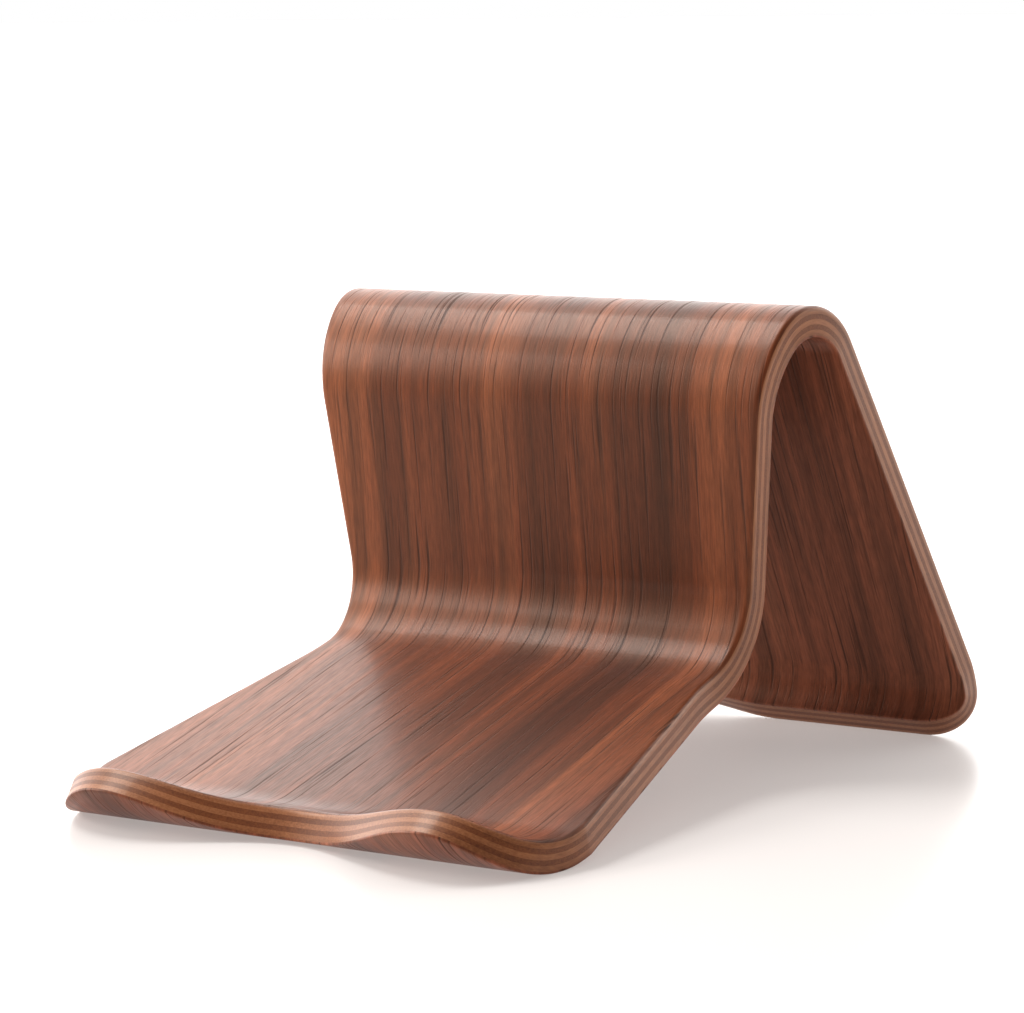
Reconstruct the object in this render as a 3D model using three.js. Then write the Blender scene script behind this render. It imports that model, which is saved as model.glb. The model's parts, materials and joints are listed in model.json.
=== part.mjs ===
// Phone stand moulded from one sheet of walnut-faced plywood.
//
// Seven plies lie on one another. Every ply is cut to the same waisted blank and
// bent round the same side profile: an up-turned front lip, a trough that touches
// the desk, a sloping plate, an upright, a tight crest, a long rear leg and a short
// curl whose free edge is the rear foot.
//
// Millimetres, +Z up. X runs across the stand and the lip faces -Y. The origin is on
// the desk, under the middle of the stand's bounding box.

import * as THREE from 'three';

// ---- driving dimensions -------------------------------------------------------

const VENEER = 0.45;           // walnut face and back veneers
const CORE_PLY = 0.92;         // each core ply
const CORE_PLIES = 5;
const SHEET = 2 * VENEER + CORE_PLIES * CORE_PLY;

const FACE_ARRIS = 0.9;        // rounding along the edge of the face side
const BACK_ARRIS = 0.25;       // rounding along the edge of the back side

// Side profile of the face side, walked from the tip of the lip to the rear foot.
// Directions are degrees above the horizontal, going towards +Y.
const LIP_RADIUS = 14;
const LIP_LENGTH = 13.1;
const TROUGH_RADIUS = 18;
const PLATE_SLOPE = 14.3;
const PLATE_LENGTH = 56.9;
const BEND_RADIUS = 13.8;
const UPRIGHT_SLOPE = 94.25;
const UPRIGHT_LENGTH = 28.4;
const SHOULDER_RADIUS = 20.2;
const SHOULDER_END = 42.2;
const CREST_RADIUS = 11.9;
const LEG_SLOPE = -64.9;
const LEG_LENGTH = 67.05;
const CURL_RADIUS = 13.5;
const CURL_END = -134.4;

// Sides of the blank: straight from the front corner in to the waist, at the foot of the
// bend, and straight out again to the rear end. The waist itself is rounded.
const WAIST_S = 60.15;         // distance from the trough, along the sheet
const WAIST_HALF = 41;         // where the two straights would meet
const FRONT_FLARE = 0.1755;    // growth of the half-width per millimetre
const REAR_FLARE = 0.1133;
const WAIST_EASE = 6;          // the rounding reaches this far to each side

// Front end of the blank: a wave with a dip in the middle and a tongue on each side.
const TONGUE_X = 33.1;         // middle of each tongue
const DIP_DEPTH = 9;           // how far the dip is set back from the tongues
const CORNER_START = 7;        // where the side runs into the front corner, past the trough

// Rear end of the blank: two feet with a shallow arch between them.
const ARCH_HALF = 19;
const ARCH_DEPTH = 2.2;
const REAR_CORNER = 10;

// Mesh density.
const FRONT_COLUMNS = 22;
const FRONT_ROWS = 6;
const FRONT_MARGIN = 5;        // the wave's rows run this far on to the plate
const REAR_COLUMNS = 20;
const REAR_ROWS = 5;
const ARC_STEP = 6;            // degrees of bend between two rows
const LINE_STEP = 12;          // millimetres between two rows on a straight run

// ---- side profile ---------------------------------------------------------------

const radians = THREE.MathUtils.degToRad;
const LIP_SLOPE = -THREE.MathUtils.radToDeg( LIP_LENGTH / LIP_RADIUS );

// Each leg of the walk starts where the last one ends. Its turn is zero on a straight run.
function walk( legs, start ) {

	let { y, z, slope, s } = start;

	return legs.map( ( { radius, to, length } ) => {

		const turn = radius ? radians( to - slope ) : 0;
		const span = radius ? Math.abs( turn ) * radius : length;
		const leg = { y, z, from: radians( slope ), turn, span, s };
		const end = pointOnLeg( leg, span );
		y = end.y;
		z = end.z;
		s += span;
		slope = radius ? to : slope;
		return leg;

	} );

}

function pointOnLeg( leg, along ) {

	const angle = leg.from + leg.turn * along / leg.span;

	if ( leg.turn === 0 ) {

		return {
			y: leg.y + along * Math.cos( angle ),
			z: leg.z + along * Math.sin( angle ),
			angle,
		};

	}

	const signedRadius = leg.span / leg.turn;

	return {
		y: leg.y + signedRadius * ( Math.sin( angle ) - Math.sin( leg.from ) ),
		z: leg.z - signedRadius * ( Math.cos( angle ) - Math.cos( leg.from ) ),
		angle,
	};

}

// The lip tip's place follows from the trough's lowest line, at y = 0 and on the desk.
const lipTip = {
	y: - LIP_RADIUS * Math.sin( - radians( LIP_SLOPE ) ),
	z: SHEET + LIP_RADIUS * ( 1 - Math.cos( radians( LIP_SLOPE ) ) ),
	slope: LIP_SLOPE,
	s: - LIP_LENGTH,
};

const profile = walk( [
	{ radius: LIP_RADIUS, to: 0 },
	{ radius: TROUGH_RADIUS, to: PLATE_SLOPE },
	{ length: PLATE_LENGTH },
	{ radius: BEND_RADIUS, to: UPRIGHT_SLOPE },
	{ length: UPRIGHT_LENGTH },
	{ radius: SHOULDER_RADIUS, to: SHOULDER_END },
	{ radius: CREST_RADIUS, to: LEG_SLOPE },
	{ length: LEG_LENGTH },
	{ radius: CURL_RADIUS, to: CURL_END },
], lipTip );

const plate = profile[ 2 ];
const curl = profile.at( - 1 );
const plainRuns = profile.slice( profile.indexOf( plate ), profile.indexOf( curl ) );
const LENGTH = curl.s + curl.span;

function profilePoint( s ) {

	const found = profile.find( ( part ) => s <= part.s + part.span ) ?? curl;
	return pointOnLeg( found, s - found.s );

}

// ---- flat blank -----------------------------------------------------------------

function halfWidth( s ) {

	const past = Math.max( s, CORNER_START ) - WAIST_S;
	const flare = past < 0 ? - FRONT_FLARE : REAR_FLARE;
	const inside = Math.max( 0, WAIST_EASE - Math.abs( past ) );
	const rounding = ( FRONT_FLARE + REAR_FLARE ) * inside * inside / ( 4 * WAIST_EASE );
	return WAIST_HALF + flare * past + rounding;

}

const FRONT_HALF = halfWidth( CORNER_START );
const END_HALF = halfWidth( LENGTH );

// Where the blank's front end is, at a share of the half-width.
function frontEnd( share ) {

	const x = Math.abs( share ) * FRONT_HALF;

	if ( x < TONGUE_X ) {

		const wave = ( 1 + Math.cos( Math.PI * x / TONGUE_X ) ) / 2;
		return DIP_DEPTH * wave - LIP_LENGTH;

	}

	const out = ( x - TONGUE_X ) / ( FRONT_HALF - TONGUE_X );
	return CORNER_START - ( CORNER_START + LIP_LENGTH ) * Math.sqrt( Math.max( 0, 1 - out * out ) );

}

// Where the blank's rear end is, at a share of the half-width.
function rearEnd( share ) {

	const x = Math.abs( share ) * END_HALF;
	const arch = x < ARCH_HALF ? ARCH_DEPTH * ( 1 + Math.cos( Math.PI * x / ARCH_HALF ) ) / 2 : 0;
	const out = Math.max( 0, x - ( END_HALF - REAR_CORNER ) );
	const corner = REAR_CORNER - Math.sqrt( REAR_CORNER * REAR_CORNER - out * out );
	return LENGTH - arch - corner;

}

// Columns stand closer together towards the corners.
function shares( columns ) {

	return Array.from( { length: columns + 1 }, ( _, i ) => Math.sin( Math.PI * ( i / columns - 0.5 ) ) );

}

// The blank is drawn as rows of points from its front end to its rear end, with the
// margin of the rounded edge taken off all round. A plain row has its two ends only.
function blankRows( margin ) {

	const rows = [];
	const frontBase = plate.s + FRONT_MARGIN;

	for ( let k = 0; k <= FRONT_ROWS; k ++ ) {

		rows.push( shares( FRONT_COLUMNS ).map( ( share ) => {

			const end = frontEnd( share ) + margin;
			const s = end + ( frontBase - end ) * k / FRONT_ROWS;
			return { x: share * ( halfWidth( s ) - margin ), s };

		} ) );

	}

	for ( const part of plainRuns ) {

		const bends = Math.abs( THREE.MathUtils.radToDeg( part.turn ) ) / ARC_STEP;
		const steps = Math.ceil( Math.max( bends, part.span / LINE_STEP ) );

		for ( let k = 1; k <= steps; k ++ ) {

			const s = part.s + part.span * k / steps;
			const half = halfWidth( s ) - margin;
			rows.push( [ { x: - half, s }, { x: half, s } ] );

		}

	}

	for ( let k = 1; k <= REAR_ROWS; k ++ ) {

		rows.push( shares( REAR_COLUMNS ).map( ( share ) => {

			const end = rearEnd( share ) - margin;
			const s = curl.s + ( end - curl.s ) * k / REAR_ROWS;
			return { x: share * ( halfWidth( s ) - margin ), s };

		} ) );

	}

	return rows;

}

// How far the rounded edges draw the blank in, at a depth below the face side.
function edgeMargin( depth ) {

	const roundOff = ( radius, inside ) => {

		const left = Math.max( 0, radius - inside );
		return radius - Math.sqrt( radius * radius - left * left );

	};

	return roundOff( FACE_ARRIS, depth ) + roundOff( BACK_ARRIS, SHEET - depth );

}

// ---- bending --------------------------------------------------------------------

// Depth is measured square to the face side, towards the back side.
function bent( { x, s }, depth ) {

	const { y, z, angle } = profilePoint( s );
	return [ x, y + depth * Math.sin( angle ), z - depth * Math.cos( angle ) ];

}

// Triangles between two rows of point numbers, which may hold different counts.
function stitch( near, far ) {

	const triangles = [];
	let i = 0;
	let j = 0;

	while ( i < near.length - 1 || j < far.length - 1 ) {

		const nearStep = ( i + 1 ) / ( near.length - 1 );
		const farStep = ( j + 1 ) / ( far.length - 1 );

		if ( j === far.length - 1 || ( i < near.length - 1 && nearStep <= farStep ) ) {

			triangles.push( [ near[ i ], near[ i + 1 ], far[ j ] ] );
			i ++;

		} else {

			triangles.push( [ near[ i ], far[ j + 1 ], far[ j ] ] );
			j ++;

		}

	}

	return triangles;

}

// A closed sheet between two depths, bent to the profile.
function bentPly( top, bottom ) {

	const positions = [];
	const triangles = [];

	const numbered = [ top, bottom ].map( ( depth ) => blankRows( edgeMargin( depth ) ).map( ( row ) =>
		row.map( ( point ) => positions.push( bent( point, depth ) ) - 1 ) ) );

	const [ upper, lower ] = numbered;
	const last = upper.length - 1;

	for ( let k = 0; k < last; k ++ ) {

		triangles.push( ...stitch( upper[ k ], upper[ k + 1 ] ) );
		triangles.push( ...stitch( lower[ k ], lower[ k + 1 ] ).map( ( t ) => t.reverse() ) );

	}

	const sideOf = ( rows, end ) => rows.map( ( row ) => row.at( end ) );

	triangles.push( ...stitch( lower[ 0 ], upper[ 0 ] ) );
	triangles.push( ...stitch( upper[ last ], lower[ last ] ) );
	triangles.push( ...stitch( sideOf( lower, - 1 ), sideOf( upper, - 1 ) ) );
	triangles.push( ...stitch( sideOf( upper, 0 ), sideOf( lower, 0 ) ) );

	const geometry = new THREE.BufferGeometry();
	geometry.setAttribute( 'position', new THREE.Float32BufferAttribute( positions.flat(), 3 ) );
	geometry.setIndex( triangles.flat() );
	geometry.computeVertexNormals();
	return geometry;

}

// ---- materials --------------------------------------------------------------------

const walnut = new THREE.MeshStandardMaterial( { color: 0x7a4630, roughness: 0.42, metalness: 0 } );
const lightPly = new THREE.MeshStandardMaterial( { color: 0xb98a63, roughness: 0.6, metalness: 0 } );
const darkPly = new THREE.MeshStandardMaterial( { color: 0x7b4a2c, roughness: 0.6, metalness: 0 } );

// ---- the stand ----------------------------------------------------------------------

const stand = new THREE.Group();

function addPly( name, top, bottom, material ) {

	const ply = new THREE.Mesh( bentPly( top, bottom ), material );
	ply.name = name;
	stand.add( ply );

}

addPly( 'face_veneer', 0, VENEER, walnut );

for ( let i = 0; i < CORE_PLIES; i ++ ) {

	const top = VENEER + i * CORE_PLY;
	addPly( `core_ply_${ i + 1 }`, top, top + CORE_PLY, i % 2 ? darkPly : lightPly );

}

addPly( 'back_veneer', SHEET - VENEER, SHEET, walnut );

// The profile starts at the trough; the stand's origin is under the middle of its box.
const box = new THREE.Box3().setFromObject( stand );

for ( const ply of stand.children ) {

	ply.position.y = - ( box.min.y + box.max.y ) / 2;

}

export default stand;
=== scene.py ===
# Phone stand moulded from one sheet of walnut-faced plywood, standing on a pale studio
# floor. Seven veneers are glued into a flat block, the block is cut to a waisted outline
# and rounded along its edges, and the whole sheet is bent to its side profile.

import json
import math
import bpy
from mathutils import Matrix, Vector

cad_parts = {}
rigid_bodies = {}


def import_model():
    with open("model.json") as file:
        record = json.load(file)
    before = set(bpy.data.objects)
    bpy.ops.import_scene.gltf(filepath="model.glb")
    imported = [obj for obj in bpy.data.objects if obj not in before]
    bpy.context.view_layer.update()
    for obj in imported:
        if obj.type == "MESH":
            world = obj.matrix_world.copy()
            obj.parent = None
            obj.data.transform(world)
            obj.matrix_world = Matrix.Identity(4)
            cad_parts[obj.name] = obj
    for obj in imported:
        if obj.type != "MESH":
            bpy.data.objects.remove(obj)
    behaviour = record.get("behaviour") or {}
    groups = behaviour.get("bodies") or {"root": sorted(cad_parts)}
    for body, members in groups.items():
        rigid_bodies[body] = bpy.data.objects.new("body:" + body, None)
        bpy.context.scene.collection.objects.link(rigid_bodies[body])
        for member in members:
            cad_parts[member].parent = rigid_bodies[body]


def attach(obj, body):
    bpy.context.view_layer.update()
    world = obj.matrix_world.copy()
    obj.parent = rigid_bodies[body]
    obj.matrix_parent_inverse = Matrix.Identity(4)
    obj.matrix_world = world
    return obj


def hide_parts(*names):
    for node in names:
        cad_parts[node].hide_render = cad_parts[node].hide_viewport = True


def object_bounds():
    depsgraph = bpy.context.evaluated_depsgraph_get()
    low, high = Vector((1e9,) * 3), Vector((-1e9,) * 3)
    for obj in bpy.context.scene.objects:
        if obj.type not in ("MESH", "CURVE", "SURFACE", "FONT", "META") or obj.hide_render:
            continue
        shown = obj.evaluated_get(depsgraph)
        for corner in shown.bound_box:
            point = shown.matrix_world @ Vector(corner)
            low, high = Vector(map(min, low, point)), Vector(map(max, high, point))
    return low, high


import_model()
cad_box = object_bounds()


# ---- the side profile the press gives the sheet --------------------------------------
# The mould's two halves press every bend at once, so the face side follows one line of
# straights and arcs: lip, trough, plate, bend, upright, shoulder, crest, leg and curl.
# Each entry is a radius with the slope that its arc ends at, or the length of a straight.

MM = 0.001
SHEET = 5.5 * MM
LIP_LENGTH = 13.1 * MM
LIP_RADIUS = 14.0 * MM
PRESSED_LINE = [
    ("arc", LIP_RADIUS, 0.0),
    ("arc", 18.0 * MM, 14.3),
    ("straight", 56.9 * MM, 14.3),
    ("arc", 13.8 * MM, 94.25),
    ("straight", 28.4 * MM, 94.25),
    ("arc", 20.2 * MM, 42.2),
    ("arc", 11.9 * MM, -64.9),
    ("straight", 67.05 * MM, -64.9),
    ("arc", 13.5 * MM, -134.4),
]
BEND_STEP = math.radians(2.5)
POINTS_PER_BEND_LINE = 4

tip_slope = -LIP_LENGTH / LIP_RADIUS
line_points = []
bend_lines = []
y = LIP_RADIUS * math.sin(tip_slope)
z = SHEET + LIP_RADIUS * (1 - math.cos(tip_slope))
slope = tip_slope
walked = 0.0
for kind, size, end_slope in PRESSED_LINE:
    turn = math.radians(end_slope) - slope
    span = abs(turn) * size if kind == "arc" else size
    steps = max(1, math.ceil(abs(turn) / BEND_STEP)) if kind == "arc" else 1
    fine = steps * POINTS_PER_BEND_LINE
    chord = span / fine
    for step in range(fine):
        line_points.append((0.0, y, z))
        middle = slope + turn * (step + 0.5) / fine
        y += chord * math.cos(middle)
        z += chord * math.sin(middle)
    bend_lines += [walked + span * step / steps for step in range(1, steps + 1)]
    slope += turn
    walked += span
line_points.append((0.0, y, z))
sheet_length = walked

press_curve = bpy.data.curves.new("press_line", "CURVE")
press_curve.dimensions = "3D"
press_curve.twist_mode = "MINIMUM"
press_spline = press_curve.splines.new("POLY")
press_spline.points.add(len(line_points) - 1)
for point, place in zip(press_spline.points, line_points):
    point.co = (*place, 1.0)
press_line = bpy.data.objects.new("press_line", press_curve)
bpy.context.collection.objects.link(press_line)


# ---- the flat block ------------------------------------------------------------------
# Seven veneers glued flat, lying along +X from the lip's tip, with the face at height 0.
# The sides run in to a rounded waist at the bend and out again to the rear, the front
# end is a wave with two tongues, and the rear end has a shallow arch.

WAIST_AT = LIP_LENGTH + 60.15 * MM
WAIST_HALF = 41.0 * MM
FRONT_FLARE = 0.1755
REAR_FLARE = 0.1133
WAIST_EASE = 6.0 * MM
TONGUE_X = 33.1 * MM
DIP_DEPTH = 9.0 * MM
CORNER_START = LIP_LENGTH + 7.0 * MM
ARCH_HALF = 19.0 * MM
ARCH_DEPTH = 2.2 * MM
REAR_CORNER = 10.0 * MM
FACE_ARRIS = 0.9 * MM
FACE_ARRIS_STEPS = 5
BACK_ARRIS = 0.25 * MM
BACK_ARRIS_STEPS = 2
RIM = 0.5 * MM
FRONT_STEPS = 120
REAR_STEPS = 90
WAIST_STEPS = 8
SAME_PLACE = 1e-6
SAW_TOUCH = 1e-7
SHARP_CORNER = math.radians(35)


def half_width(along):
    """Half the blank's width, at a distance along the sheet."""
    past = max(along, CORNER_START) - WAIST_AT
    flare = -FRONT_FLARE if past < 0 else REAR_FLARE
    inside = max(0.0, WAIST_EASE - abs(past))
    rounding = (FRONT_FLARE + REAR_FLARE) * inside * inside / (4 * WAIST_EASE)
    return WAIST_HALF + flare * past + rounding


FRONT_HALF = half_width(CORNER_START)
END_HALF = half_width(sheet_length)


def front_end(share):
    """Where the wave of the front end is, at a share of the half-width."""
    across = abs(share) * FRONT_HALF
    if across < TONGUE_X:
        return DIP_DEPTH * (1 + math.cos(math.pi * across / TONGUE_X)) / 2
    out = (across - TONGUE_X) / (FRONT_HALF - TONGUE_X)
    return CORNER_START - CORNER_START * math.sqrt(max(0.0, 1 - out * out))


def rear_end(share):
    """Where the arched rear end is, at a share of the half-width."""
    across = abs(share) * END_HALF
    arch = 0.0
    if across < ARCH_HALF:
        arch = ARCH_DEPTH * (1 + math.cos(math.pi * across / ARCH_HALF)) / 2
    out = max(0.0, across - (END_HALF - REAR_CORNER))
    corner = math.sqrt(max(0.0, REAR_CORNER ** 2 - out ** 2))
    return sheet_length - arch - REAR_CORNER + corner


def shares(count):
    """Shares of the half-width from -1 to 1, closer together towards the corners."""
    return [math.sin(math.pi * (i / count - 0.5)) for i in range(count + 1)]


def end_line(end, count):
    """Points along one end of the blank, from its left corner to its right one."""
    return [(end(share), share * half_width(end(share))) for share in shares(count)]


front = end_line(front_end, FRONT_STEPS)
rear = end_line(rear_end, REAR_STEPS)
waist_steps = range(-WAIST_STEPS, WAIST_STEPS + 1)
side_steps = [WAIST_AT + WAIST_EASE * i / WAIST_STEPS for i in waist_steps]
right_side = [(along, half_width(along)) for along in side_steps]
left_side = [(along, -half) for along, half in reversed(right_side)]
outline = front + right_side + rear[::-1] + left_side

blank_curve = bpy.data.curves.new("blank", "CURVE")
blank_curve.dimensions = "3D"
blank_spline = blank_curve.splines.new("POLY")
blank_spline.points.add(len(outline) - 1)
blank_spline.use_cyclic_u = True
for point, (along, across) in zip(blank_spline.points, outline):
    point.co = (along, across, 0.0, 1.0)
block = bpy.data.objects.new("block", blank_curve)
bpy.context.collection.objects.link(block)

bpy.ops.object.select_all(action="DESELECT")
block.select_set(True)
bpy.context.view_layer.objects.active = block
bpy.ops.object.convert(target="MESH")
block = bpy.context.object
bpy.ops.object.mode_set(mode="EDIT")
bpy.ops.mesh.select_all(action="SELECT")
bpy.ops.mesh.remove_doubles(threshold=SAME_PLACE)
bpy.ops.mesh.edge_face_add()
bpy.ops.mesh.extrude_region_move(TRANSFORM_OT_translate={"value": (0, 0, -SHEET)})
bpy.ops.mesh.select_all(action="SELECT")
bpy.ops.mesh.normals_make_consistent(inside=False)
bpy.ops.object.mode_set(mode="OBJECT")


def select_level(height, faces):
    """Select the edges, or the flat face, at one height of the block."""
    bpy.ops.object.mode_set(mode="EDIT")
    bpy.ops.mesh.select_mode(type="FACE" if faces else "EDGE")
    bpy.ops.mesh.select_all(action="DESELECT")
    bpy.ops.object.mode_set(mode="OBJECT")
    points = block.data.vertices
    for part in block.data.polygons if faces else block.data.edges:
        heights = [points[i].co.z for i in part.vertices]
        part.select = all(abs(here - height) < SAME_PLACE for here in heights)
    bpy.ops.object.mode_set(mode="EDIT")


# Both long edges are rounded over, and a narrow flat rim is left inside each rounding.
for height, arris, arris_steps in (
    (0.0, FACE_ARRIS, FACE_ARRIS_STEPS),
    (-SHEET, BACK_ARRIS, BACK_ARRIS_STEPS),
):
    select_level(height, faces=False)
    bpy.ops.mesh.bevel(
        offset=arris, offset_type="OFFSET", segments=arris_steps, affect="EDGES"
    )
    bpy.ops.object.mode_set(mode="OBJECT")
    select_level(height, faces=True)
    bpy.ops.mesh.inset(thickness=RIM)
    bpy.ops.object.mode_set(mode="OBJECT")


def saw(plane_point, plane_normal, clear_outer=False, clear_inner=False):
    """One straight cut right through the piece in hand."""
    bpy.ops.mesh.select_all(action="SELECT")
    bpy.ops.mesh.bisect(
        plane_co=plane_point,
        plane_no=plane_normal,
        use_fill=clear_outer or clear_inner,
        clear_outer=clear_outer,
        clear_inner=clear_inner,
        threshold=SAW_TOUCH,
    )


def press_ply(name, node, top, bottom):
    """Take one veneer out of the block, cut its bend lines and press it to shape."""
    ply = block.copy()
    ply.data = block.data.copy()
    ply.name = name
    ply.data.name = name
    bpy.context.collection.objects.link(ply)
    bpy.ops.object.select_all(action="DESELECT")
    ply.select_set(True)
    bpy.context.view_layer.objects.active = ply

    bpy.ops.object.mode_set(mode="EDIT")
    if top > 0:
        saw((0, 0, -top), (0, 0, 1), clear_outer=True)
    if bottom < SHEET:
        saw((0, 0, -bottom), (0, 0, 1), clear_inner=True)
    for along in bend_lines[:-1]:
        saw((along, 0, 0), (1, 0, 0))
    bpy.ops.object.mode_set(mode="OBJECT")

    # The grain is laid out on the flat sheet, so it goes round the bends with the wood.
    flat = ply.data.attributes.new("sheet", "FLOAT_VECTOR", "POINT")
    for place, vertex in zip(flat.data, ply.data.vertices):
        place.vector = vertex.co

    press = ply.modifiers.new("press", "CURVE")
    press.object = press_line
    press.deform_axis = "POS_X"
    bpy.ops.object.modifier_apply(modifier=press.name)
    bpy.ops.object.shade_smooth_by_angle(angle=SHARP_CORNER)

    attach(ply, "root")
    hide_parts(node)
    return ply


# ---- walnut veneers ------------------------------------------------------------------
# The face and the back are sliced walnut, 0.45 mm thick, glued with the grain
# running along the sheet. They are sanded and sealed with a thin satin lacquer.

VENEER = 0.45 * MM


def walnut_veneer(name, slide, deep, middle, pale):
    """Sliced walnut: wandering bands, dark streaks, fibres and open pores."""
    material = bpy.data.materials.new(name)
    material.use_nodes = True
    nodes = material.node_tree.nodes
    links = material.node_tree.links
    nodes.clear()

    flat = nodes.new("ShaderNodeAttribute")
    flat.label = "Place on the flat sheet"
    flat.location = (-2200, 0)
    flat.attribute_name = "sheet"

    leaf = nodes.new("ShaderNodeMapping")
    leaf.label = "Which leaf of veneer"
    leaf.location = (-2000, 0)
    leaf.inputs["Location"].default_value = slide
    links.new(flat.outputs["Vector"], leaf.inputs["Vector"])

    # Grain wander: the bands sway across the sheet as they run along it.
    sway_scale = nodes.new("ShaderNodeMapping")
    sway_scale.label = "Slow along, wide across"
    sway_scale.location = (-1800, 260)
    sway_scale.inputs["Scale"].default_value = (4.0, 14.0, 1.0)
    links.new(leaf.outputs["Vector"], sway_scale.inputs["Vector"])

    sway = nodes.new("ShaderNodeTexNoise")
    sway.label = "Grain wander"
    sway.location = (-1600, 260)
    sway.inputs["Scale"].default_value = 1.0
    sway.inputs["Detail"].default_value = 2.0
    sway.inputs["Roughness"].default_value = 0.4
    links.new(sway_scale.outputs["Vector"], sway.inputs["Vector"])

    sway_centre = nodes.new("ShaderNodeVectorMath")
    sway_centre.label = "Sway to both sides"
    sway_centre.location = (-1400, 260)
    sway_centre.operation = "SUBTRACT"
    sway_centre.inputs[1].default_value = (0.5, 0.5, 0.5)
    links.new(sway.outputs["Color"], sway_centre.inputs[0])

    sway_size = nodes.new("ShaderNodeVectorMath")
    sway_size.label = "Size of the sway"
    sway_size.location = (-1200, 260)
    sway_size.operation = "MULTIPLY"
    sway_size.inputs[1].default_value = (0.0, 0.016, 0.0)
    links.new(sway_centre.outputs["Vector"], sway_size.inputs[0])

    grain = nodes.new("ShaderNodeVectorMath")
    grain.label = "Place along the grain"
    grain.location = (-1000, 0)
    grain.operation = "ADD"
    links.new(leaf.outputs["Vector"], grain.inputs[0])
    links.new(sway_size.outputs["Vector"], grain.inputs[1])

    # Growth bands: broad changes of colour between seasons.
    band_scale = nodes.new("ShaderNodeMapping")
    band_scale.label = "Band length and width"
    band_scale.location = (-800, 400)
    band_scale.inputs["Scale"].default_value = (4.0, 55.0, 1.0)
    links.new(grain.outputs["Vector"], band_scale.inputs["Vector"])

    bands = nodes.new("ShaderNodeTexNoise")
    bands.label = "Growth bands"
    bands.location = (-600, 400)
    bands.inputs["Scale"].default_value = 1.0
    bands.inputs["Detail"].default_value = 4.0
    bands.inputs["Roughness"].default_value = 0.55
    links.new(band_scale.outputs["Vector"], bands.inputs["Vector"])

    band_colours = nodes.new("ShaderNodeValToRGB")
    band_colours.label = "Heartwood colours"
    band_colours.location = (-400, 400)
    ramp = band_colours.color_ramp
    ramp.elements[0].position = 0.34
    ramp.elements[0].color = deep
    ramp.elements[1].position = 0.72
    ramp.elements[1].color = pale
    ramp.elements.new(0.50).color = middle
    links.new(bands.outputs["Fac"], band_colours.inputs["Fac"])

    # Dark streaks: narrow lines of mineral colour that run on for a few centimetres.
    streak_scale = nodes.new("ShaderNodeMapping")
    streak_scale.label = "Streak length and width"
    streak_scale.location = (-800, 40)
    streak_scale.inputs["Scale"].default_value = (11.0, 380.0, 1.0)
    links.new(grain.outputs["Vector"], streak_scale.inputs["Vector"])

    streaks = nodes.new("ShaderNodeTexNoise")
    streaks.label = "Dark streaks"
    streaks.location = (-600, 40)
    streaks.inputs["Scale"].default_value = 1.0
    streaks.inputs["Detail"].default_value = 5.0
    streaks.inputs["Roughness"].default_value = 0.6
    links.new(streak_scale.outputs["Vector"], streaks.inputs["Vector"])

    streak_depth = nodes.new("ShaderNodeMapRange")
    streak_depth.label = "How dark the streaks are"
    streak_depth.location = (-400, 40)
    streak_depth.inputs["From Min"].default_value = 0.36
    streak_depth.inputs["From Max"].default_value = 0.62
    streak_depth.inputs["To Min"].default_value = 0.55
    streak_depth.inputs["To Max"].default_value = 1.14
    links.new(streaks.outputs["Fac"], streak_depth.inputs["Value"])

    streaked = nodes.new("ShaderNodeMix")
    streaked.label = "Streaks over the bands"
    streaked.location = (-160, 300)
    streaked.data_type = "RGBA"
    streaked.blend_type = "MULTIPLY"
    streaked.inputs["Factor"].default_value = 1.0
    links.new(band_colours.outputs["Color"], streaked.inputs["A"])
    links.new(streak_depth.outputs["Result"], streaked.inputs["B"])

    # Fibres: the fine silky lines of the cut wood.
    fibre_scale = nodes.new("ShaderNodeMapping")
    fibre_scale.label = "Fibre length and width"
    fibre_scale.location = (-800, -320)
    fibre_scale.inputs["Scale"].default_value = (260.0, 2800.0, 1.0)
    links.new(grain.outputs["Vector"], fibre_scale.inputs["Vector"])

    fibres = nodes.new("ShaderNodeTexNoise")
    fibres.label = "Fibres"
    fibres.location = (-600, -320)
    fibres.inputs["Scale"].default_value = 1.0
    fibres.inputs["Detail"].default_value = 3.0
    links.new(fibre_scale.outputs["Vector"], fibres.inputs["Vector"])

    fibre_tone = nodes.new("ShaderNodeMapRange")
    fibre_tone.label = "Light and dark fibres"
    fibre_tone.location = (-400, -320)
    fibre_tone.inputs["From Min"].default_value = 0.3
    fibre_tone.inputs["From Max"].default_value = 0.7
    fibre_tone.inputs["To Min"].default_value = 0.74
    fibre_tone.inputs["To Max"].default_value = 1.26
    links.new(fibres.outputs["Fac"], fibre_tone.inputs["Value"])

    silky = nodes.new("ShaderNodeMix")
    silky.label = "Fibres over the streaks"
    silky.location = (60, 200)
    silky.data_type = "RGBA"
    silky.blend_type = "MULTIPLY"
    silky.inputs["Factor"].default_value = 1.0
    links.new(streaked.outputs["Result"], silky.inputs["A"])
    links.new(fibre_tone.outputs["Result"], silky.inputs["B"])

    # Pores: open vessels, seen as short dark dashes along the grain.
    pore_scale = nodes.new("ShaderNodeMapping")
    pore_scale.label = "Pore length and width"
    pore_scale.location = (-800, -680)
    pore_scale.inputs["Scale"].default_value = (34.0, 1500.0, 1.0)
    links.new(grain.outputs["Vector"], pore_scale.inputs["Vector"])

    pores = nodes.new("ShaderNodeTexNoise")
    pores.label = "Open pores"
    pores.location = (-600, -680)
    pores.inputs["Scale"].default_value = 1.0
    pores.inputs["Detail"].default_value = 1.0
    links.new(pore_scale.outputs["Vector"], pores.inputs["Vector"])

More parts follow.
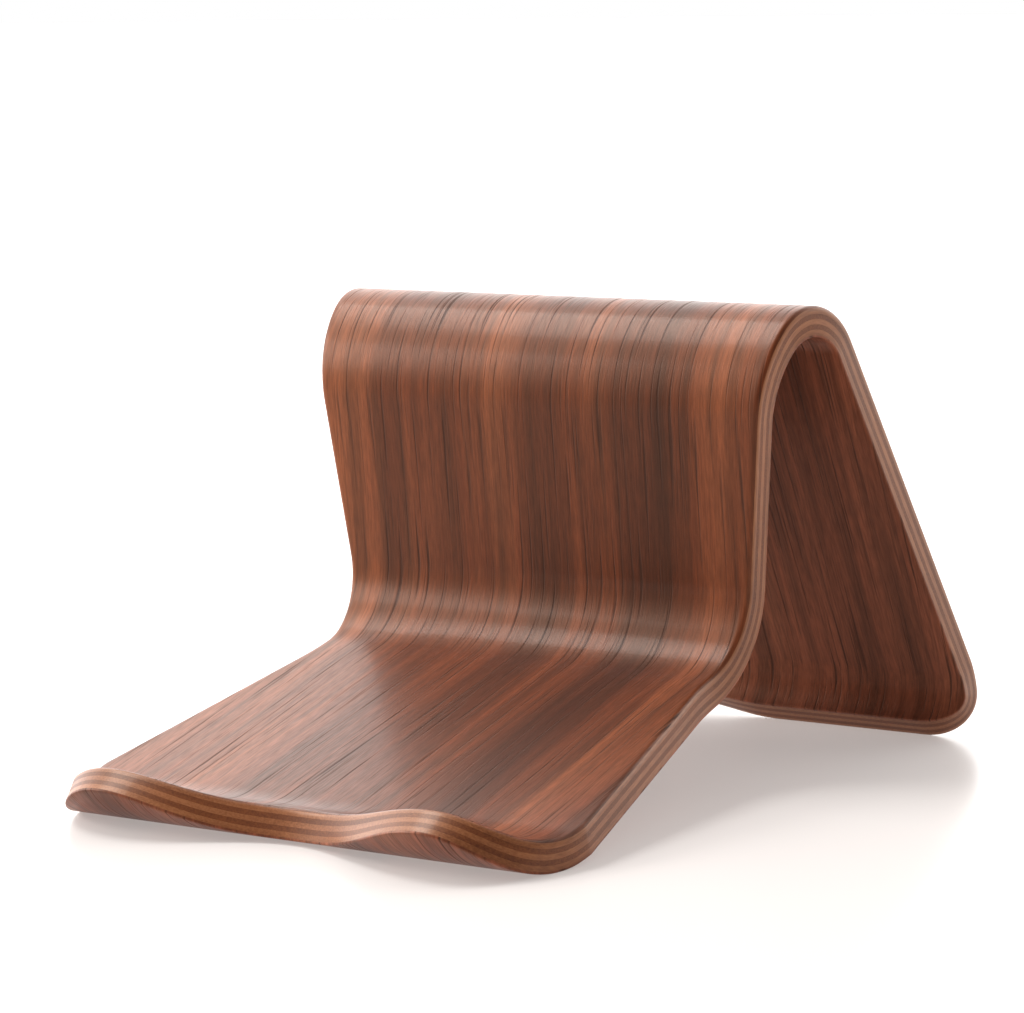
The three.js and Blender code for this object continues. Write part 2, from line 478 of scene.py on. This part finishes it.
    pore_mask = nodes.new("ShaderNodeMapRange")
    pore_mask.label = "Keep only the deepest"
    pore_mask.location = (-400, -680)
    pore_mask.inputs["From Min"].default_value = 0.58
    pore_mask.inputs["From Max"].default_value = 0.72
    links.new(pores.outputs["Fac"], pore_mask.inputs["Value"])

    pore_colour = nodes.new("ShaderNodeMix")
    pore_colour.label = "Dark pores"
    pore_colour.location = (280, 120)
    pore_colour.data_type = "RGBA"
    pore_colour.blend_type = "MIX"
    pore_colour.inputs["B"].default_value = (0.030, 0.011, 0.007, 1.0)
    links.new(silky.outputs["Result"], pore_colour.inputs["A"])

    pore_strength = nodes.new("ShaderNodeMath")
    pore_strength.label = "Pores are half filled with lacquer"
    pore_strength.location = (60, -120)
    pore_strength.operation = "MULTIPLY"
    pore_strength.inputs[1].default_value = 0.75
    links.new(pore_mask.outputs["Result"], pore_strength.inputs[0])
    links.new(pore_strength.outputs["Value"], pore_colour.inputs["Factor"])

    # Lacquer: satin, a little duller over the pores and the coarse fibres.
    gloss = nodes.new("ShaderNodeMapRange")
    gloss.label = "Satin gloss"
    gloss.location = (280, -300)
    gloss.inputs["From Min"].default_value = 0.3
    gloss.inputs["From Max"].default_value = 0.7
    gloss.inputs["To Min"].default_value = 0.50
    gloss.inputs["To Max"].default_value = 0.40
    links.new(fibres.outputs["Fac"], gloss.inputs["Value"])

    dull_pores = nodes.new("ShaderNodeMath")
    dull_pores.label = "Pores are dull"
    dull_pores.location = (480, -300)
    dull_pores.operation = "MULTIPLY_ADD"
    dull_pores.inputs[1].default_value = 0.3
    links.new(pore_mask.outputs["Result"], dull_pores.inputs[0])
    links.new(gloss.outputs["Result"], dull_pores.inputs[2])

    relief = nodes.new("ShaderNodeMath")
    relief.label = "Pores sink under the fibres"
    relief.location = (280, -560)
    relief.operation = "MULTIPLY_ADD"
    relief.inputs[1].default_value = -1.5
    links.new(pore_mask.outputs["Result"], relief.inputs[0])
    links.new(fibres.outputs["Fac"], relief.inputs[2])

    bump = nodes.new("ShaderNodeBump")
    bump.label = "Relief of the open grain"
    bump.location = (480, -560)
    bump.inputs["Strength"].default_value = 0.35
    bump.inputs["Distance"].default_value = 0.00008
    links.new(relief.outputs["Value"], bump.inputs["Height"])

    wood = nodes.new("ShaderNodeBsdfPrincipled")
    wood.label = "Lacquered walnut"
    wood.location = (720, 100)
    wood.inputs["Specular IOR Level"].default_value = 0.45
    wood.inputs["Specular Tint"].default_value = (1.0, 0.55, 0.34, 1.0)
    wood.inputs["Coat Weight"].default_value = 0.14
    wood.inputs["Coat Roughness"].default_value = 0.20
    links.new(pore_colour.outputs["Result"], wood.inputs["Base Color"])
    links.new(dull_pores.outputs["Value"], wood.inputs["Roughness"])
    links.new(bump.outputs["Normal"], wood.inputs["Normal"])

    surface = nodes.new("ShaderNodeOutputMaterial")
    surface.label = "Finished veneer"
    surface.location = (1000, 100)
    links.new(wood.outputs["BSDF"], surface.inputs["Surface"])

    for title, members in (
        ("Grain wander", (sway_scale, sway, sway_centre, sway_size)),
        ("Growth bands", (band_scale, bands, band_colours)),
        ("Dark streaks", (streak_scale, streaks, streak_depth, streaked)),
        ("Fibres", (fibre_scale, fibres, fibre_tone, silky)),
        ("Pores", (pore_scale, pores, pore_mask, pore_strength, pore_colour)),
        ("Lacquer", (gloss, dull_pores, relief, bump)),
    ):
        group = nodes.new("NodeFrame")
        group.label = title
        for member in members:
            member.parent = group
    return material


face_wood = walnut_veneer(
    "walnut_face",
    slide=(0.31, 0.47, 0.0),
    deep=(0.050, 0.010, 0.004, 1.0),
    middle=(0.135, 0.030, 0.010, 1.0),
    pale=(0.275, 0.080, 0.030, 1.0),
)
back_wood = walnut_veneer(
    "walnut_back",
    slide=(1.73, 0.12, 0.0),
    deep=(0.110, 0.028, 0.013, 1.0),
    middle=(0.220, 0.062, 0.030, 1.0),
    pale=(0.340, 0.115, 0.056, 1.0),
)

face_veneer = press_ply(
    "walnut_face_veneer", "face_veneer", top=0.0, bottom=VENEER
)
face_veneer.data.materials.append(face_wood)
back_veneer = press_ply(
    "walnut_back_veneer", "back_veneer", top=SHEET - VENEER, bottom=SHEET
)
back_veneer.data.materials.append(back_wood)


# ---- core plies ----------------------------------------------------------------------
# Five thicker veneers of a plain pale wood, glued with the grain turned by turns, so that
# the sanded edge shows long grain, which stays pale, and end grain, which drinks the
# lacquer and goes dark. They are cut and sanded flush with the face and back.

CORE_PLY = 0.92 * MM
CORE_PLIES = 5


def core_wood(name, tint, shade, grain_scale, dull):
    """The sanded edge of one ply: cut fibres under an uneven coat of lacquer."""
    material = bpy.data.materials.new(name)
    material.use_nodes = True
    nodes = material.node_tree.nodes
    links = material.node_tree.links
    nodes.clear()

    flat = nodes.new("ShaderNodeAttribute")
    flat.label = "Place on the flat sheet"
    flat.location = (-1200, 0)
    flat.attribute_name = "sheet"

    fibre_scale = nodes.new("ShaderNodeMapping")
    fibre_scale.label = "Fibre length and width"
    fibre_scale.location = (-1000, 200)
    fibre_scale.inputs["Scale"].default_value = grain_scale
    links.new(flat.outputs["Vector"], fibre_scale.inputs["Vector"])

    fibres = nodes.new("ShaderNodeTexNoise")
    fibres.label = "Cut fibres"
    fibres.location = (-800, 200)
    fibres.inputs["Scale"].default_value = 1.0
    fibres.inputs["Detail"].default_value = 4.0
    links.new(fibre_scale.outputs["Vector"], fibres.inputs["Vector"])

    patch_scale = nodes.new("ShaderNodeMapping")
    patch_scale.label = "Patch length"
    patch_scale.location = (-1000, -160)
    patch_scale.inputs["Scale"].default_value = (35.0, 35.0, 500.0)
    links.new(flat.outputs["Vector"], patch_scale.inputs["Vector"])

    patches = nodes.new("ShaderNodeTexNoise")
    patches.label = "Uneven lacquer"
    patches.location = (-800, -160)
    patches.inputs["Scale"].default_value = 1.0
    patches.inputs["Detail"].default_value = 2.0
    links.new(patch_scale.outputs["Vector"], patches.inputs["Vector"])

    blend = nodes.new("ShaderNodeMath")
    blend.label = "Fibres and patches together"
    blend.location = (-600, 60)
    blend.operation = "MULTIPLY_ADD"
    blend.inputs[1].default_value = 0.55
    links.new(fibres.outputs["Fac"], blend.inputs[0])

    half_patch = nodes.new("ShaderNodeMath")
    half_patch.label = "Patches count less"
    half_patch.location = (-600, -160)
    half_patch.operation = "MULTIPLY"
    half_patch.inputs[1].default_value = 0.45
    links.new(patches.outputs["Fac"], half_patch.inputs[0])
    links.new(half_patch.outputs["Value"], blend.inputs[2])

    colours = nodes.new("ShaderNodeValToRGB")
    colours.label = "Ply colours"
    colours.location = (-400, 60)
    colours.color_ramp.elements[0].position = 0.36
    colours.color_ramp.elements[0].color = shade
    colours.color_ramp.elements[1].position = 0.64
    colours.color_ramp.elements[1].color = tint
    links.new(blend.outputs["Value"], colours.inputs["Fac"])

    bump = nodes.new("ShaderNodeBump")
    bump.label = "Sanded edge"
    bump.location = (-400, -260)
    bump.inputs["Strength"].default_value = 0.2
    bump.inputs["Distance"].default_value = 0.00005
    links.new(fibres.outputs["Fac"], bump.inputs["Height"])

    wood = nodes.new("ShaderNodeBsdfPrincipled")
    wood.label = "Lacquered edge"
    wood.location = (-60, 60)
    wood.inputs["Roughness"].default_value = dull
    wood.inputs["Specular IOR Level"].default_value = 0.40
    wood.inputs["Specular Tint"].default_value = (1.0, 0.72, 0.52, 1.0)
    wood.inputs["Coat Weight"].default_value = 0.18
    wood.inputs["Coat Roughness"].default_value = 0.22
    links.new(colours.outputs["Color"], wood.inputs["Base Color"])
    links.new(bump.outputs["Normal"], wood.inputs["Normal"])

    surface = nodes.new("ShaderNodeOutputMaterial")
    surface.label = "Finished edge"
    surface.location = (260, 60)
    links.new(wood.outputs["BSDF"], surface.inputs["Surface"])

    for title, members in (
        ("Cut fibres", (fibre_scale, fibres)),
        ("Uneven lacquer", (patch_scale, patches, half_patch, blend)),
        ("Sanded edge", (colours, bump)),
    ):
        group = nodes.new("NodeFrame")
        group.label = title
        for member in members:
            member.parent = group
    return material


long_grain = core_wood(
    "light_ply",
    tint=(0.350, 0.130, 0.052, 1.0),
    shade=(0.190, 0.060, 0.022, 1.0),
    grain_scale=(160.0, 2400.0, 3600.0),
    dull=0.42,
)
end_grain = core_wood(
    "dark_ply",
    tint=(0.210, 0.060, 0.019, 1.0),
    shade=(0.100, 0.025, 0.009, 1.0),
    grain_scale=(2600.0, 2600.0, 3600.0),
    dull=0.5,
)

for number in range(CORE_PLIES):
    top = VENEER + number * CORE_PLY
    turned = number % 2 == 1
    core_ply = press_ply(
        f"core_veneer_{number + 1}",
        f"core_ply_{number + 1}",
        top=top,
        bottom=top + CORE_PLY,
    )
    core_ply.data.materials.append(end_grain if turned else long_grain)

# The block has been used up, and the press is not part of the stand.
bpy.data.objects.remove(block)
bpy.data.objects.remove(press_line)


# ---- standing the sheet on the desk --------------------------------------------------
# The pressed sheet stands on its trough and on the two feet of its rear end. All seven
# veneers move together, until the sheet is centred and its lowest line is on the desk.

ply_names = ("walnut_", "core_veneer_")
plies = [item for item in bpy.data.objects if item.name.startswith(ply_names)]
corners = [vertex.co for ply in plies for vertex in ply.data.vertices]
middle_y = (min(c.y for c in corners) + max(c.y for c in corners)) / 2
lowest = min(c.z for c in corners)
desk = cad_box[0][2]
centre_y = (cad_box[0][1] + cad_box[1][1]) / 2
shift = Vector((0, centre_y - middle_y, desk - lowest))
for ply in plies:
    ply.data.transform(Matrix.Translation(shift))


# ---- studio --------------------------------------------------------------------------
# A pale floor of coated board with a painted glow, a large soft light overhead, a soft
# light to the front left that draws the highlights on the bends, and a bright surround
# behind.

FLOOR_SIZE = 8.0

bpy.ops.mesh.primitive_plane_add(size=FLOOR_SIZE, location=(0, 0, desk))
floor = bpy.context.object
floor.name = "studio_floor"
board = bpy.data.materials.new("coated_board")
board.use_nodes = True
board_nodes = board.node_tree.nodes
board_nodes.clear()

# Painted glow: the board is given a warm emission though it is no lamp, standing in for
# light; it keeps shadows on it pale and warm and lights the stand from below.
board_paint = board_nodes.new("ShaderNodeBsdfPrincipled")
board_paint.label = "Pale board with painted glow"
board_paint.location = (0, 0)
board_paint.inputs["Base Color"].default_value = (0.50, 0.48, 0.47, 1.0)
# Painted glow: warm emission that lifts the floor's shadows and lights the stand's
# underside.
board_paint.inputs["Emission Color"].default_value = (1.0, 0.93, 0.90, 1.0)
board_paint.inputs["Emission Strength"].default_value = 0.36
board_paint.inputs["Roughness"].default_value = 0.24
board_paint.inputs["Specular IOR Level"].default_value = 0.06

board_surface = board_nodes.new("ShaderNodeOutputMaterial")
board_surface.label = "Finished board"
board_surface.location = (320, 0)
board.node_tree.links.new(board_paint.outputs["BSDF"], board_surface.inputs["Surface"])
floor.data.materials.append(board)

world = bpy.data.worlds.new("surround")
bpy.context.scene.world = world
world.use_nodes = True
sky = world.node_tree.nodes
sky_links = world.node_tree.links
sky.clear()

heading = sky.new("ShaderNodeTexCoord")
heading.label = "Direction"
heading.location = (-900, 0)

behind = sky.new("ShaderNodeVectorMath")
behind.label = "How far behind the stand"
behind.location = (-700, 0)
behind.operation = "DOT_PRODUCT"
behind.inputs[1].default_value = (-0.57, 0.82, 0.0)
sky_links.new(heading.outputs["Generated"], behind.inputs[0])

backness = sky.new("ShaderNodeMapRange")
backness.label = "Bright behind, dim in front"
backness.location = (-500, 100)
backness.interpolation_type = "SMOOTHSTEP"
backness.inputs["From Min"].default_value = -0.5
backness.inputs["From Max"].default_value = 0.75
backness.inputs["To Min"].default_value = 0.22
backness.inputs["To Max"].default_value = 3.5
sky_links.new(behind.outputs["Value"], backness.inputs["Value"])

upward = sky.new("ShaderNodeSeparateXYZ")
upward.label = "How high up"
upward.location = (-700, -220)
sky_links.new(heading.outputs["Generated"], upward.inputs["Vector"])

dimmer = sky.new("ShaderNodeMapRange")
dimmer.label = "Dimmer overhead"
dimmer.location = (-500, -220)
dimmer.interpolation_type = "SMOOTHSTEP"
dimmer.inputs["From Min"].default_value = 0.56
dimmer.inputs["From Max"].default_value = 0.82
dimmer.inputs["To Min"].default_value = 1.0
dimmer.inputs["To Max"].default_value = 0.35
sky_links.new(upward.outputs["Z"], dimmer.inputs["Value"])

shaped = sky.new("ShaderNodeMath")
shaped.label = "Brightness of the surround"
shaped.location = (-400, 260)
shaped.operation = "MULTIPLY"
sky_links.new(backness.outputs["Result"], shaped.inputs[0])
sky_links.new(dimmer.outputs["Result"], shaped.inputs[1])

glow = sky.new("ShaderNodeBackground")
glow.label = "Light of the surround"
glow.location = (-260, 100)
glow.inputs["Color"].default_value = (1.0, 0.99, 0.975, 1.0)
sky_links.new(shaped.outputs["Value"], glow.inputs["Strength"])

plain = sky.new("ShaderNodeBackground")
plain.label = "Plain white backdrop"
plain.location = (-260, -100)
plain.inputs["Color"].default_value = (1.0, 1.0, 1.0, 1.0)
plain.inputs["Strength"].default_value = 1.0

seen = sky.new("ShaderNodeLightPath")
seen.label = "Backdrop as seen"
seen.location = (-260, 400)

choose = sky.new("ShaderNodeMixShader")
choose.label = "Backdrop or light"
choose.location = (0, 100)
sky_links.new(seen.outputs["Is Camera Ray"], choose.inputs["Fac"])
sky_links.new(glow.outputs["Background"], choose.inputs[1])
sky_links.new(plain.outputs["Background"], choose.inputs[2])

sky_out = sky.new("ShaderNodeOutputWorld")
sky_out.label = "Finished surround"
sky_out.location = (240, 100)
sky_links.new(choose.outputs["Shader"], sky_out.inputs["Surface"])

for title, members in (
    ("Light of the surround", (behind, backness, upward, dimmer, shaped, glow)),
    ("Backdrop", (plain, seen, choose)),
):
    group = sky.new("NodeFrame")
    group.label = title
    for member in members:
        member.parent = group


def soft_light(name, place, aim, width, height, power, colour):
    """A rectangular soft light that faces the stand."""
    lamp = bpy.data.lights.new(name, "AREA")
    lamp.shape = "RECTANGLE"
    lamp.size = width
    lamp.size_y = height
    lamp.energy = power
    lamp.color = colour
    box = bpy.data.objects.new(name, lamp)
    box.location = place
    box.rotation_euler = (Vector(aim) - Vector(place)).to_track_quat("-Z", "Y").to_euler()
    bpy.context.collection.objects.link(box)


soft_light(
    "overhead",
    place=(-0.42, -0.06, 0.80),
    aim=(0, 0, 0.03),
    width=0.45,
    height=0.30,
    power=5.0,
    colour=(1.0, 0.99, 0.97),
)
soft_light(
    "front_left",
    place=(-0.66, -0.42, 0.44),
    aim=(0, 0.02, 0.05),
    width=0.45,
    height=0.34,
    power=4.2,
    colour=(1.0, 0.96, 0.92),
)

# The camera's place is given from the trough's line, which the shift has moved.
CAMERA_PLACE = (0.39302, -0.50512, 0.15145)
AZIMUTH = math.radians(34.773)
ELEVATION = math.radians(8.6003)
TILT = math.radians(-1.6013)
FOCAL_LENGTH = 138.72
SENSOR_WIDTH = 36.0

lens = bpy.data.cameras.new("camera")
lens.sensor_width = SENSOR_WIDTH
lens.lens = FOCAL_LENGTH
camera = bpy.data.objects.new("camera", lens)
beside, away, up = CAMERA_PLACE
stand_point = Matrix.Translation((beside, away + shift.y, up))
turned_by = Matrix.Rotation(AZIMUTH, 4, "Z")
nod = Matrix.Rotation(math.pi / 2 - ELEVATION, 4, "X")
lean = Matrix.Rotation(TILT, 4, "Z")
camera.matrix_world = stand_point @ turned_by @ nod @ lean
bpy.context.collection.objects.link(camera)
bpy.context.scene.camera = camera
bpy.context.scene.view_settings.view_transform = "Standard"
